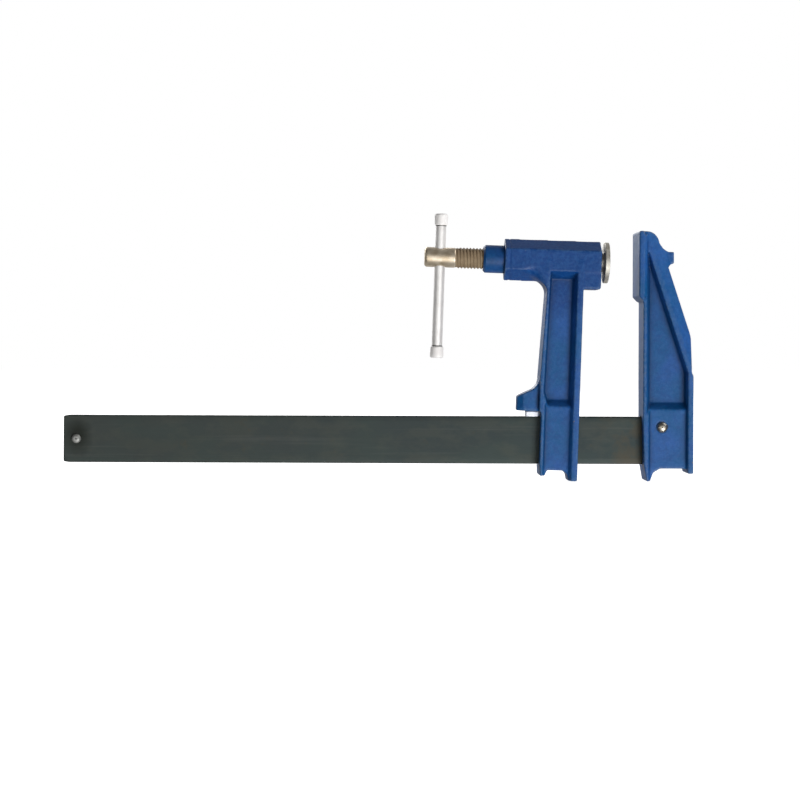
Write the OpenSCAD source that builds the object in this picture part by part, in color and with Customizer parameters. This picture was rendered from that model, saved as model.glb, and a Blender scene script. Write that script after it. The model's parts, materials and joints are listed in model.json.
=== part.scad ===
// F clamp with a riveted fixed jaw, a sliding jaw that rocks on the bar to grip it,
// and a short screw that drives a plunger and its swivel pad.
// X runs along the bar towards the fixed jaw, Z up the arms, Y across the bar's thickness.
// The origin is the centre of the fixed jaw's clamping face.

/* [Bar] */
// Length of the bar
bar_length = 475; // [300:1:700]
// Height of the bar's section
bar_height = 36; // [30:1:40]
// Thickness of the bar's section
bar_thick = 8; // [6:0.5:10]
// Chamfer along the bar's long edges
bar_chamfer = 0.8; // [0.3:0.1:1.5]
// Corners cut off the bar's free end
bar_corner = 1.4; // [0.5:0.1:3]
// Distance from the screw's axis to the bar at the fixed jaw
throat = 118.8; // [110:0.1:150]
// Bar hidden inside the fixed jaw, behind the clamping face
bar_seat = 39.6; // [34:0.2:39.8]

/* [Fixed jaw] */
// Depth of the fixed jaw from its clamping face to its back
jaw_depth = 42.2; // [42:0.1:48]
// Half of the castings' thickness over their ribs
rib_half = 14; // [13:0.25:15]
// Half of the web's thickness
web_half = 4.5; // [3:0.25:6]
// Half of the castings' thickness over the panels beside the bar
panel_half = 10; // [9:0.25:11]
// How far the clamping pad stands proud of the arm
pad_proud = 4; // [2:0.25:6]
// Half of the clamping pad's width
pad_half = 19.5; // [17:0.5:21]
// Clamping pad above the screw's axis
pad_above = 22; // [20:0.5:24]
// Clamping pad below the screw's axis
pad_below = 27.5; // [22:0.5:29]
// Radius of the fixed jaw's crown
crown_r = 9.5; // [8:0.5:11]
// Half of the back lug's thickness
knob_half = 8; // [6:0.5:12]
// Width of the rib beside the clamping side of the arm
front_rib = 2.5; // [2:0.25:4]
// Width of the crest on the sloping rib
back_rib = 2.8; // [2:0.2:4]
// Slant of the arm's back, sideways per unit of height
back_slant = 0.327; // [0.31:0.001:0.34]
// Metal below the bar on both castings
under_bar = 3; // [2.5:0.25:5]
// Diameter of the rivet
rivet_d = 8; // [6:0.5:9]
// Rivet's centre behind the clamping face
rivet_in = 18.9; // [16:0.1:24]
// Rivet's centre below the bar's top edge
rivet_down = 7.6; // [6.5:0.1:14]

/* [Sliding jaw] */
// Width of the arm along the bar at its top
arm_width = 27.6; // [26:0.2:30]
// Extra width of the arm low down, just above the lug
arm_flare = 3; // [2:0.2:4]
// Height of the lug's top where it meets the arm
lug_top = 30.5; // [28:0.5:33]
// How far the lug reaches past the arm's clamping side
lug_reach = 47.1; // [46:0.5:49]
// Half of the lug's thickness
lug_half = 9; // [8:0.5:10]
// Fillet between the barrel and the arm
arm_fillet = 9; // [6:0.5:11]
// Length of the right foot below the bar
grip_foot = 11.6; // [10:0.2:15]
// Length of the left foot below the bar
rear_foot = 8.4; // [7:0.2:12]

/* [Barrel] */
// Length of the hexagonal barrel
barrel_length = 73.2; // [70:0.2:80]
// Corner radius of the barrel's hexagon
barrel_r = 15.9; // [15:0.1:17]
// How far the barrel's front end stands past the arm
barrel_front = 13.1; // [12:0.1:15]
// Depth of the chin under the barrel's front end
chin_drop = 20.8; // [19:0.1:23]
// Diameter of the clearance bore behind the plunger
inner_bore = 17; // [16.8:0.1:18]
// Depth of the wide mouth at the barrel's front end
mouth_depth = 10.2; // [10:0.1:11]
// Diameter of the wide mouth
mouth_d = 17.6; // [17.4:0.1:18.6]

/* [Screw] */
// Outside diameter of the screw's thread
thread_d = 15.8; // [15:0.2:16.4]
// Pitch of the screw's thread
thread_pitch = 2.5; // [2:0.25:3]
// Depth of the screw's thread
thread_depth = 1.2; // [0.8:0.1:1.4]
// Screw thread showing behind the nut at rest
thread_showing = 21; // [20.5:0.25:26]
// Length of the screw's head
head_length = 23.7; // [20:0.1:26]
// Diameter of the screw's head
head_d = 15.2; // [14.6:0.1:17]
// Length of the nut's collar outside the barrel
collar_length = 16; // [12:0.5:20]
// Diameter of the nut's collar
collar_d = 21.2; // [20.5:0.1:23]
// Length of the nut's shank inside the barrel
shank_length = 18; // [15:0.5:20]
// Diameter of the nut's shank
shank_d = 20; // [19.5:0.1:20.4]
// Diameter of the screw's plain shoulder
shoulder_d = 12.5; // [12:0.1:13]
// Diameter of the screw's journal inside the plunger
journal_d = 9; // [8:0.1:10]

/* [Plunger and pad] */
// Diameter of the plunger
plunger_d = 15; // [14.6:0.1:15.2]
// Length of the plunger
plunger_length = 40.5; // [38:0.5:42]
// Diameter of the ball on the plunger's nose
ball_d = 10.8; // [10:0.1:11]
// Diameter of the neck behind the ball
neck_d = 6.6; // [6:0.1:7]
// Diameter of the pressure pad
disc_d = 31; // [28:0.5:34]
// Thickness of the pressure pad's rim
disc_thick = 3.3; // [3:0.1:4]
// Gap between the barrel's end and the pad at rest
disc_gap = 2.8; // [2.4:0.1:4]
// Length of the hub behind the pad
hub_length = 10.8; // [10.6:0.1:11.2]
// Thickness of the ring that holds the pad on its ball
pad_ring_thick = 1; // [0.8:0.1:1.1]

/* [Tommy bar] */
// Diameter of the tommy bar
tommy_d = 8; // [6:0.25:9]
// Length of the tommy bar over its ends
tommy_length = 110; // [90:1:130]
// Length of each flared end
cap_length = 8.8; // [7:0.1:11]
// Largest diameter of each flared end
cap_d = 10.3; // [9.6:0.1:12]
// How far the tommy bar's centre hangs below the screw's axis
tommy_drop = 21.8; // [0:0.1:30]

/* [Grip shoe] */
// Length of the grip shoe along the bar
shoe_length = 9.5; // [8:0.25:11]
// Width of the grip shoe across the bar
shoe_width = 13; // [9:0.5:15]
// Thickness of the grip shoe
shoe_thick = 4; // [3:0.1:5]
// Gap between the shoe and the jaw's sleeve
shoe_room = 1.45; // [1.4:0.05:2.5]
// Diameter of the shoe's peg
peg_d = 5; // [4:0.25:6]
// Length of the shoe's peg
peg_length = 6; // [4:0.5:7]

/* [Stop pin] */
// Diameter of the stop pin
stop_d = 7; // [4:0.5:8]
// Stop pin's centre from the bar's free end
stop_in = 9.8; // [6:0.2:14]
// How far the stop pin stands out of each side of the bar
stop_out = 3; // [2:0.25:4]

/* [Rest position] */
// Distance from the fixed clamping face to the sliding arm's clamping side at the bar
opening = 44.05; // [43.8:0.05:60]
// Lean of the sliding jaw at rest, in degrees
lean = 1.75; // [0.5:0.05:1.75]

/* [Fits] */
// Radial clearance of the thread in its nut
thread_gap = 0.05; // [0.03:0.01:0.08]
// Radial clearance of a sliding or turning fit
slide_gap = 0.05; // [0.03:0.01:0.08]
// Radial clearance of a driven or riveted fit
drive_gap = 0.02; // [0.01:0.01:0.05]
// Sideways clearance of the bar in the sliding jaw
side_gap = 0.25; // [0.15:0.05:0.4]
// Clearance of the bar in the fixed jaw
seat_gap = 0.05; // [0.02:0.01:0.1]
// Gap between parts that rest on each other and move
rest_gap = 0.25; // [0.2:0.05:0.4]

/* [Hidden] */
$fn = 96;
eps = 0.01;

// Heights along the fixed frame
bar_top = -throat;
bar_bottom = bar_top - bar_height;
sleeve_bottom = bar_bottom - under_bar;

// Both castings: where the web's recess ends above the bar
recess_end = 10.5;                           // floor of the recess ends this far above the bar
recess_slope = 4.7;                          // height of the slope from the web to the panel
draft = 1.2;                                 // draft of a steep wall over its depth
soft_draft = 3;                              // draft of a gentle wall over its depth
wide_draft = 2.9;                            // draft of the sliding arm's throat-side wall

// Fixed jaw
arm_front = pad_proud;
crown_in = 3.2;                              // crown's centre behind the arm's clamping side
rib_rim = arm_front + front_rib;
slant_top = pad_above - 14.3;                // upper end of the recess on the sloping rib
slant_x = rib_rim + 1.2;                     // where the sloping rib starts
back_rim = jaw_depth - 4.2;                  // recess side of the back rib beside the bar
slant_foot = slant_top - (back_rim - slant_x) / back_slant;
waist_x = jaw_depth - 1.3;                   // back of the arm above the step
step_up = 31.5;                              // height above the bar of the step in the back
step_rise = 2.2;
step_z = bar_top + step_up;
foot_front = 12.5;                           // length of the front foot below the bar
toe_in = 3;                                  // front edge of its tip
toe_out = 6;                                 // back edge of its tip
toe_run = 13.5;                              // where it meets the underside of the sleeve
toe_step = 0.8;
toe_bend = 8.4;                              // hollow between the tip and the underside
toe_hollow = 6;
foot_back = 6.6;                             // length of the back foot below the bar
heel_in = 4.2;                               // width of its tip
heel_run = 4.9;                              // where it meets the underside of the sleeve
shoulder_run = 4;                            // slope between the crown and the back lug
shoulder_up = 2.5;
knob_top = pad_above - 15.3;                 // back lug
knob_deep = 8.8;
knob_x = 28.1;
knob_neck = 23.8;
knob_bevel = 2.5;
knob_under = 3;
neck_drop = 12;                              // where the straight neck under the lug ends
waist_bevel = 1.2;
waist_run = 5;
pad_flank = 3;                               // run of the slope from the pad's side to the rib
pad_chamfer = 0.8;

// Sliding jaw, in its own frame: u along the bar from the arm's clamping side, v up from the bar
axis_v = throat;
barrel_u0 = barrel_front - barrel_length;
sleeve_step = 1.3;                           // how far the sleeve stands past the arm's back
sleeve_back = -arm_width - sleeve_step;
shoe_back = shoe_length / 2 + shoe_room - sleeve_back;
lean_room = 0.13;
slot_top = shoe_back * sin(lean) + lean_room;  // room above the bar that lets the jaw lean
slot_floor = -bar_height - slide_gap;
lug_floor = shoe_thick + rest_gap;
lug_end = 11.2;                              // height of the lug's blunt end
lug_bevel = 5;
lug_taper = 3.5;
lug_slack = 1.5;                             // the lug thins out this far past the sleeve
hollow_run = 4.2;                            // bottom of the hollow between the lug and the arm
hollow_drop = 9.2;
turn_run = 1.2;                              // where the hollow turns up into the arm
turn_drop = 5.4;
panel_floor = -bar_height - under_bar - 1;
grip_tip = 6.6;                              // width of the right foot's tip
tip_bevel = 1;
tip_rise = 5;
grip_run = 11;                               // where the right foot meets the underside
rear_toe = 0.5;                              // edges of the left foot's tip
rear_tip = 4.5;
rear_run = 6.2;                              // where the left foot meets the underside
fillet_overlap = 0.3;
rear_rib = 4.6;                              // width of the rib on the throat side of the arm
web_lift = 2.5;                              // its recess ends this much higher than the other's
flare_slack = 0.4;
corner_in = 4.5;                             // slanted lower corner of the recess
corner_up = 6;
sleeve_draft = 2;                            // draft of the panel's throat-side wall
chin_in = 2;                                 // chin under the barrel's front end
chin_bevel = 1;
chin_run = 3;
chin_slack = 0.25;

// Where things sit along the screw's axis
collar_u = barrel_u0 - collar_length;
head_u = collar_u - thread_showing;
cross_u = head_u - head_length / 2;
disc_u = barrel_front + disc_gap;
face_u = disc_u + disc_thick;
hub_u = disc_u - hub_length;
ball_in = 5;                                 // centre of the ball behind the pad
ball_u = disc_u - ball_in;
hub_room = 1.5;                              // neck showing between the hub and the plunger
plunger_u = hub_u - hub_room;
plunger_back = plunger_u - plunger_length;
guide_in = 8;                                // back end of the plunger's guide bore
guide_u = plunger_back + guide_in;
shoulder_length = 14;
thread_u = plunger_back - shoulder_length;   // front end of the thread
journal_length = 16;
journal_u = plunger_back + journal_length;
ring_in = 4;                                 // ring groove from the journal's tip
ring_u = journal_u - ring_in;
ring_thick = 1.4;
ring_deep = 0.9;                             // how far the ring reaches into each groove
ring_free = 0.2;                             // room for the ring along its groove
ring_split = 1.6;
pad_ring_in = 3.1;                           // front of the pad's ring behind the ball's centre
pad_ring_u = ball_u - pad_ring_in - pad_ring_thick;
ring_play = 0.5;                             // room for the pad's ring along its groove
seat_deep = 1.2;                             // depth of that groove outside the ball
ring_seat_r = ball_d / 2 + seat_deep;
lock_d = 5;
cap_socket = 5;                              // how deep the tommy bar sits in its ends

// Place of the sliding jaw: it leans about the top of its shoe
pivot_x = -opening - shoe_back;
pivot_z = bar_top + shoe_thick;
flat_half = barrel_r * cos(30);

steel = "#8a8f88";
bright = "#c9c6bd";
paint = "#3d5f9c";

// A flat outline in X and Z, made solid half_thick to each side of the middle
module slab(half_thick) {
    rotate([90, 0, 0]) linear_extrude(2 * half_thick, center = true) children();
}

// The same thing on the front and on the back
module both_sides() {
    for (side = [0, 1]) mirror([0, side, 0]) children();
}

// Point where the line through a with direction da meets the line through b with direction db
function meet(a, da, b, db) =
    let (d = b - a, t = (d[0] * db[1] - d[1] * db[0]) / (da[0] * db[1] - da[1] * db[0])) a + t * da;

// A clockwise outline with each side moved inwards by its own step
function inset(outline, steps) =
    let (
        n = len(outline),
        way = [for (i = [0 : n - 1]) let (d = outline[(i + 1) % n] - outline[i]) d / norm(d)],
        start = [for (i = [0 : n - 1]) outline[i] + steps[i] * [way[i][1], -way[i][0]]]
    ) [for (i = [0 : n - 1]) let (k = (i + n - 1) % n) meet(start[k], way[k], start[i], way[i])];

// A pocket cut from the front, as a clockwise outline at the surface, whose walls lean
// inwards by a step each on the way down to its floor
module pocket(rim, steps, floor_half) {
    n = len(rim);
    floor = inset(rim, steps);
    polyhedron(
        points = concat(
            [for (p = rim) [p[0], -rib_half, p[1]]],
            [for (p = floor) [p[0], -floor_half, p[1]]]),
        faces = concat(
            [[for (i = [0 : n - 1]) i]],
            [[for (i = [n - 1 : -1 : 0]) n + i]],
            [for (i = [0 : n - 1]) [(i + 1) % n, i, n + i]],
            [for (i = [0 : n - 1]) [(i + 1) % n, n + i, n + (i + 1) % n]]));
    slab_front(rim);
}

// Clears what stands in front of a pocket's rim
module slab_front(rim) {
    translate([0, -rib_half, 0]) rotate([90, 0, 0]) linear_extrude(1) polygon(rim);
}

// Carries the sliding jaw's own frame to its leaning place on the bar
module on_jaw() {
    translate([pivot_x, 0, pivot_z]) rotate([0, lean, 0]) translate([shoe_back, 0, -shoe_thick])
        children();
}

// The screw's axis in the sliding jaw's frame, with Z turned to run along it
module on_axis(u = 0) {
    on_jaw() translate([u, 0, axis_v]) rotate([0, 90, 0]) children();
}

module bar() {
    half_t = bar_thick / 2;
    half_h = bar_height / 2;
    c = bar_chamfer;
    color(steel) difference() {
        translate([bar_seat, 0, bar_top - half_h]) rotate([0, -90, 0]) linear_extrude(bar_length)
            polygon([[-half_h + c, -half_t], [half_h - c, -half_t], [half_h, -half_t + c],
                [half_h, half_t - c], [half_h - c, half_t], [-half_h + c, half_t],
                [-half_h, half_t - c], [-half_h, -half_t + c]]);
        cross_hole([rivet_in, bar_top - rivet_down], rivet_d / 2 + drive_gap);
        cross_hole([bar_seat - bar_length + stop_in, bar_top - half_h], stop_d / 2 + drive_gap);
        for (z = [bar_top, bar_bottom])
            translate([bar_seat - bar_length, 0, z]) rotate([0, 45, 0])
                cube([sqrt(2) * bar_corner, bar_height, sqrt(2) * bar_corner], center = true);
    }
}

// A hole right through along Y at the point [x, z]
module cross_hole(at, r) {
    translate([at[0], 0, at[1]]) rotate([90, 0, 0]) cylinder(4 * rib_half, r, r, center = true);
}

// Side outline of the fixed jaw
module fixed_outline() {
    slant_z = knob_top - neck_drop;
    slant_end = slant_z - (waist_x - knob_neck - waist_bevel) / back_slant;
    polygon([
        [arm_front, pad_above],
        [arm_front + crown_in, pad_above],
        [arm_front + crown_r, pad_above - crown_r / 2],
        [knob_neck - shoulder_run, knob_top + shoulder_up],
        [knob_neck, knob_top],
        [knob_x, knob_top],
        [knob_x, knob_top - knob_deep],
        [knob_x - knob_bevel, knob_top - knob_deep - knob_bevel / 4],
        [knob_neck, knob_top - knob_deep - knob_under],
        [knob_neck, slant_z],
        [waist_x - waist_bevel, slant_end],
        [waist_x, slant_end - waist_run],
        [waist_x, step_z + step_rise],
        [jaw_depth, step_z],
        [jaw_depth, bar_bottom - foot_back],
        [jaw_depth - heel_in, bar_bottom - foot_back],
        [jaw_depth - heel_run, sleeve_bottom],
        [arm_front + toe_run, sleeve_bottom],
        [arm_front + toe_bend, bar_bottom - toe_hollow],
        [arm_front + toe_out, bar_bottom - foot_front],
        [arm_front + toe_in, bar_bottom - foot_front],
        [arm_front + toe_step, bar_bottom],
        [arm_front, bar_top]]);
    // Round crown, kept behind the arm's clamping side
    intersection() {
        translate([arm_front + crown_in, pad_above - crown_r]) circle(crown_r);
        translate([arm_front, 0]) square([2 * crown_r, 2 * pad_above]);
    }
}

module fixed_jaw() {
    recess_z = bar_top + recess_end;
    slope = recess_slope * (rib_half - web_half) / (panel_half - web_half);
    recess = [[rib_rim, slant_top + (slant_x - rib_rim) / back_slant], [back_rim, slant_foot],
        [back_rim, recess_z - slope], [rib_rim, recess_z - slope]];
    below = bar_bottom - jaw_depth;
    panel_in = 1.5;
    overlap = 2;
    panel = [[rib_rim + panel_in, recess_z - overlap], [back_rim, recess_z - overlap],
        [back_rim, below], [rib_rim + panel_in, below]];
    bar_room = bar_thick / 2 + seat_gap;
    lug_room = 4;
    color(paint) difference() {
        union() {
            difference() {
                slab(rib_half) fixed_outline();
                both_sides() {
                    pocket(recess, [draft, draft, slope, soft_draft], web_half);
                    pocket(panel, [0, draft / 2, 0, draft], panel_half);
                    sloped_back(slant_x + back_rib);
                    // Thinner round the back lug
                    translate([knob_neck - 1, -rib_half - 1, knob_top - knob_deep - lug_room])
                        cube([knob_x, rib_half + 1 - knob_half, 2 * knob_deep]);
                }
            }
            clamping_pad();
        }
        // Room for the bar, closed at the back
        translate([0, -bar_room, bar_bottom - seat_gap])
            cube([bar_seat + seat_gap, 2 * bar_room, bar_height + 2 * seat_gap]);
        cross_hole([rivet_in, bar_top - rivet_down], rivet_d / 2 + drive_gap);
    }
}

// The back of the arm slopes away from the sloping rib's crest
module sloped_back(edge_x) {
    angle = atan(back_slant);
    fall = 7;
    width = 9.5;
    translate([edge_x + 1, 0, slant_top]) rotate([0, -angle, 0]) translate([0, 0, -throat])
        linear_extrude(throat + pad_above)
            polygon([[0, -rib_half], [width, -rib_half + fall], [width * 2, -rib_half + fall],
                [width * 2, -rib_half - 1], [0, -rib_half - 1]]);
}

module clamping_pad() {
    top = pad_above;
    chamfer = pad_chamfer;
    intersection() {
        slab(pad_half) polygon([[0, top - chamfer], [chamfer, top], [arm_front + eps, top],
            [arm_front + eps, -pad_below - pad_proud], [arm_front, -pad_below - pad_proud],
            [0, -pad_below]]);
        translate([0, 0, -pad_below - pad_proud]) linear_extrude(pad_above + pad_below + pad_proud)
            polygon([[0, -pad_half + chamfer], [chamfer, -pad_half], [arm_front + 1, -pad_half],
                [arm_front + 1, pad_half], [chamfer, pad_half], [0, pad_half - chamfer]]);
    }
    both_sides() translate([0, 0, -pad_below]) linear_extrude(pad_above + pad_below - pad_flank)
        polygon([[chamfer, -pad_half], [arm_front, -pad_half], [arm_front + pad_flank, -rib_half + eps],
            [chamfer, -rib_half + eps]]);
}

module rivet_profile() {
    grip = panel_half;
    dome = 2.6;
    overhang = 0.5;
    head = rivet_d / 2 + overhang;
    polygon(concat([[0, -grip - dome]],
        [for (a = [15 : 15 : 90]) [head * sin(a), -grip - dome * cos(a)]],
        [[rivet_d / 2, -grip], [rivet_d / 2, grip]],
        [for (a = [90 : -15 : 15]) [head * sin(a), grip + dome * cos(a)]],
        [[0, grip + dome]]));
}

module fixed_jaw_rivet() {
    color(bright) translate([rivet_in, 0, bar_top - rivet_down]) rotate([90, 0, 0])
        rotate_extrude() rivet_profile();
}

module stop_pin() {
    half = bar_thick / 2 + stop_out;
    bevel = 0.5;
    r = stop_d / 2;
    color(steel) translate([bar_seat - bar_length + stop_in, 0, bar_top - bar_height / 2])
        rotate([90, 0, 0]) rotate_extrude() polygon([[0, -half], [r - bevel, -half], [r, bevel - half],
            [r, half - bevel], [r - bevel, half], [0, half]]);
}

// Side outline of the sliding jaw's arm, lug and sleeve
module sliding_outline() {
    low_back = -arm_width - arm_flare;
    polygon([
        [0, axis_v],
        [0, -bar_height - grip_foot],
        [-grip_tip, -bar_height - grip_foot],
        [-grip_tip - tip_bevel, -bar_height - grip_foot + tip_rise],
        [-grip_run, panel_floor],
        [sleeve_back + rear_run, panel_floor],
        [sleeve_back + rear_tip, -bar_height - rear_foot],
        [sleeve_back + rear_toe, -bar_height - rear_foot],
        [sleeve_back, -bar_height],
        [sleeve_back, lug_floor],
        [-lug_reach, lug_floor],
        [-lug_reach, lug_floor + lug_end],
        [low_back - hollow_run, lug_top - hollow_drop],
        [low_back - turn_run, lug_top - turn_drop],
        [low_back, lug_top],
        [-arm_width, axis_v - barrel_r - arm_fillet],
        [-arm_width, axis_v]]);
    // Fillet under the barrel, which runs a little way into it
    translate([-arm_width - arm_fillet, axis_v - barrel_r - arm_fillet + fillet_overlap]) difference() {
        square([arm_fillet + 1, arm_fillet + barrel_r / 2]);
        circle(arm_fillet);
    }
}

module sliding_jaw() {
    recess_v = recess_end + web_lift;
    slope = recess_slope * (rib_half - web_half) / (panel_half - web_half);
    rim_r = -rear_rib;
    rim_l = -arm_width + front_rib;
    low_l = rim_l - arm_flare + flare_slack;
    recess = [[rim_l, axis_v], [rim_r, axis_v], [rim_r, recess_v - slope],
        [low_l + corner_in, recess_v - slope], [low_l, recess_v + corner_up]];
    overlap = 2;
    panel = [[sleeve_back + front_rib, recess_v - overlap], [rim_r, recess_v - overlap],
        [rim_r, -2 * bar_height], [sleeve_back + front_rib, -2 * bar_height]];
    slot_half = bar_thick / 2 + side_gap;
    peg_room = 1.5;
    color(paint) difference() {
        union() {
            on_jaw() difference() {
                slab(rib_half) sliding_outline();
                both_sides() {
                    pocket(recess, [0, wide_draft, slope, draft, draft], web_half);
                    pocket(panel, [0, sleeve_draft, 0, draft / 2], panel_half);
                    lug_cuts();
                }
            }
            barrel_body();
        }
        // Slot for the bar, and the hole for the shoe's peg
        on_jaw() {
            translate([-2 * arm_width, -slot_half, slot_floor])
                cube([3 * arm_width, 2 * slot_half, slot_top - slot_floor]);
            translate([-shoe_back, 0, lug_floor - 1])
                cylinder(peg_length + peg_room, d = peg_d + 2 * side_gap);
        }
        // Bores for the nut, the screw, the plunger and the pad's hub
        on_axis(barrel_u0 - 1) cylinder(shank_length + 1, d = shank_d + 2 * drive_gap);
        on_axis(barrel_u0) cylinder(guide_u - barrel_u0, d = inner_bore);
        on_axis(guide_u - 1) cylinder(barrel_length, d = plunger_d + 2 * slide_gap);
        on_axis(barrel_front - mouth_depth) cylinder(mouth_depth + 1, d = mouth_d);
        lock_hole();
    }
}

// The lug is thinner than the ribs and bevelled at its end
module lug_cuts() {
    translate([-2 * lug_reach, -rib_half - 1, lug_floor - 1])
        cube([2 * lug_reach + sleeve_back - lug_slack, rib_half + 1 - lug_half, lug_top - lug_floor]);
    translate([-lug_reach, 0, 0]) linear_extrude(lug_top + 1)
        polygon([[-1, -lug_half - 1], [lug_bevel, -lug_half - 1], [lug_bevel, -lug_half],
            [0, -lug_half + lug_taper], [-1, -lug_half + lug_taper]]);
}

// Hexagonal barrel with a corner up, and its chin
module barrel_body() {
    on_axis(barrel_u0) cylinder(barrel_length, r = barrel_r, $fn = 6);
    chin_v = axis_v - chin_drop;
    on_jaw() slab(flat_half - chin_slack) polygon([[-chin_in, axis_v], [barrel_front, axis_v],
        [barrel_front, chin_v + chin_bevel], [barrel_front - chin_bevel, chin_v],
        [0, chin_v], [-chin_in, chin_v - chin_run]]);
}

// Threaded hole for the nut's lock screw, in the barrel's rear flat
module lock_hole() {
    on_jaw() translate([barrel_u0 + shank_length / 2, flat_half + 1, axis_v]) rotate([90, 0, 0])
        cylinder(flat_half + 1 - shank_d / 2, d = lock_d);
}

module grip_shoe() {
    edge = 0.4;
    sole = 0.02;
    half = shoe_length / 2;
    color(bright) translate([pivot_x, 0, bar_top]) {
        rotate([90, 0, 0]) linear_extrude(shoe_width, center = true)
            polygon([[-half + edge, sole], [half - edge, sole], [half, edge],
                [half, shoe_thick - edge], [half - edge, shoe_thick], [-half + edge, shoe_thick],
                [-half, shoe_thick - edge], [-half, edge]]);
        translate([0, 0, shoe_thick - edge]) cylinder(peg_length + edge, d = peg_d);
    }
}

module spindle_nut() {
    bevel = 1.6;
    color(paint) difference() {
        on_axis(collar_u) rotate_extrude() polygon([[0, 0], [collar_d / 2 - bevel, 0],
            [collar_d / 2, bevel], [collar_d / 2, collar_length], [shank_d / 2, collar_length],
            [shank_d / 2, collar_length + shank_length], [0, collar_length + shank_length]]);
        on_axis(collar_u - 1) cylinder(collar_length + shank_length + 2, d = thread_d + 2 * thread_gap);
    }
}

// Grub screw with a hexagonal socket
module nut_lock_screw() {
    socket_d = 2.5;
    socket_deep = 1.6;
    color(steel) on_jaw() translate([barrel_u0 + shank_length / 2, flat_half, axis_v])
        rotate([90, 0, 0]) difference() {
            cylinder(flat_half - shank_d / 2 - drive_gap, d = lock_d);
            translate([0, 0, -1]) cylinder(socket_deep + 1, d = socket_d, $fn = 6);
        }
}

// Outline of a thread of rings between two distances along the axis
function thread_outline(from, to) = let (turns = floor((to - from) / thread_pitch)) concat(
    [for (i = [0 : turns - 1], k = [0 : 3]) let (z = from + i * thread_pitch)
        [thread_d / 2 - (k == 1 || k == 2 ? thread_depth : 0), z + [0, 0.3, 0.5, 0.8][k] * thread_pitch]],
    [[thread_d / 2, from + turns * thread_pitch]]);

module spindle() {
    back = head_u - head_length;
    bevel = 1.2;
    run_out = 1;
    tip_bevel = 0.6;
    r = head_d / 2;
    journal_r = journal_d / 2;
    groove_r = journal_r - ring_deep;
    root = thread_d / 2 - thread_depth;
    profile = concat(
        [[0, back], [r - bevel, back], [r, back + bevel], [r, head_u - bevel], [root, head_u],
            [root, head_u + run_out / 2]],
        thread_outline(head_u + run_out, thread_u - run_out),
        [[root, thread_u], [shoulder_d / 2, thread_u],
            [shoulder_d / 2, plunger_back - slide_gap], [journal_r, plunger_back - slide_gap],
            [journal_r, ring_u - ring_free], [groove_r, ring_u - ring_free],
            [groove_r, ring_u + ring_thick + ring_free], [journal_r, ring_u + ring_thick + ring_free],
            [journal_r, journal_u - tip_bevel], [journal_r - tip_bevel, journal_u], [0, journal_u]]);
    color(bright) difference() {
        on_axis() rotate_extrude() polygon(profile);
        on_jaw() translate([cross_u, 0, axis_v - head_d]) cylinder(2 * head_d, d = tommy_d + 2 * slide_gap);
    }
}

module plunger() {
    bevel = 0.8;
    ball_r = ball_d / 2;
    neck_r = neck_d / 2;
    r = plunger_d / 2;
    socket_r = journal_d / 2 + slide_gap;
    groove_r = journal_d / 2 + ring_deep;
    end_room = 0.6;
    color(bright) difference() {
        union() {
            on_axis() rotate_extrude() polygon([[0, plunger_back], [r - bevel, plunger_back],
                [r, plunger_back + bevel], [r, plunger_u - bevel], [r - bevel, plunger_u],
                [neck_r, plunger_u], [neck_r, ball_u], [0, ball_u]]);
            on_axis(ball_u) sphere(ball_r);
        }
        on_axis(plunger_back - 1) cylinder(journal_length + 1 + end_room, r = socket_r);
        on_axis(ring_u) cylinder(ring_thick, r = groove_r);
    }
}

// Split ring that holds the screw's journal in the plunger
module plunger_ring() {
    spring = 0.15;
    inner = journal_d / 2 - ring_deep + spring;
    outer = journal_d / 2 + ring_deep - drive_gap;
    color(steel) on_axis(ring_u) difference() {
        cylinder(ring_thick, r = outer);
        translate([0, 0, -1]) cylinder(ring_thick + 2, r = inner);
        translate([0, -ring_split / 2, -1]) cube([2 * outer, ring_split, ring_thick + 2]);
    }
}

// Swivel pad: a disc and a hub, bored from behind for the ball and its ring
module pressure_pad() {
    r = disc_d / 2;
    hub_r = plunger_d / 2;
    rim = 0.9;
    seat_r = ball_d / 2 + slide_gap;
    bore_r = seat_r + slide_gap;
    color(bright) difference() {
        on_axis() rotate_extrude() polygon([[0, hub_u], [hub_r - rim, hub_u], [hub_r, hub_u + rim],
            [hub_r, disc_u], [r - rim, disc_u], [r, disc_u + rim], [r, face_u - rim], [r - rim, face_u],
            [0, face_u]]);
        on_axis(ball_u) sphere(seat_r);
        on_axis(hub_u - 1) cylinder(ball_u - hub_u + 1, r = bore_r);
        on_axis(pad_ring_u - ring_play) cylinder(pad_ring_thick + 2 * ring_play, r = ring_seat_r);
    }
}

// Split ring behind the ball, loose in the hub's groove so that the pad swivels both ways
module pad_ring() {
    outer_play = 0.6;
    catch = 0.9;                         // how far the ring reaches in behind the ball
    color(steel) on_axis(pad_ring_u) difference() {
        cylinder(pad_ring_thick, r = ring_seat_r - outer_play);
        translate([0, 0, -1]) cylinder(pad_ring_thick + 2, r = ball_d / 2 - catch);
        translate([0, -ring_split / 2, -1]) cube([disc_d, ring_split, pad_ring_thick + 2]);
    }
}

// Runs along the tommy bar from its lower end, with Z up the bar
module on_tommy() {
    on_jaw() translate([cross_u, 0, axis_v - tommy_drop - tommy_length / 2]) children();
}

module tommy_bar() {
    inset = cap_length - cap_socket;
    color(bright) on_tommy() translate([0, 0, inset]) cylinder(tommy_length - 2 * inset, d = tommy_d);
}

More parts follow.
